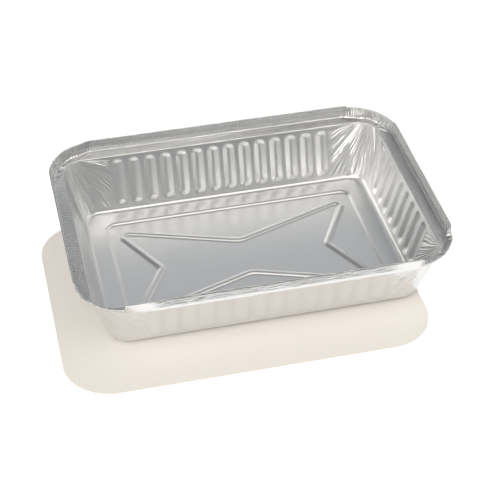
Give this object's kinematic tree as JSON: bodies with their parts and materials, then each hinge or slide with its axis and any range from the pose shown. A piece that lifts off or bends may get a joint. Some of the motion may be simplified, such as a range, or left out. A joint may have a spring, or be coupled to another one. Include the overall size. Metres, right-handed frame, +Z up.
{
  "type": "foil food container",
  "caption": "Shallow rectangular tray pressed from thin aluminium foil, with fluted walls, gathered corners and an upright hemmed lip, standing on its flat card lid.",
  "frame": {"origin": "the lid's underside, in line with the centre of the tray", "axes": "+X along the long side, +Y along the short side, +Z up"},
  "size_m": [0.2315, 0.1784, 0.0456],
  "materials": {
    "foil": "bright rolled foil",
    "card": "matt off-white board"
  },
  "bodies": {
    "root": {"foil_tray": "foil", "card_lid": "card"}
  },
  "joints": []
}
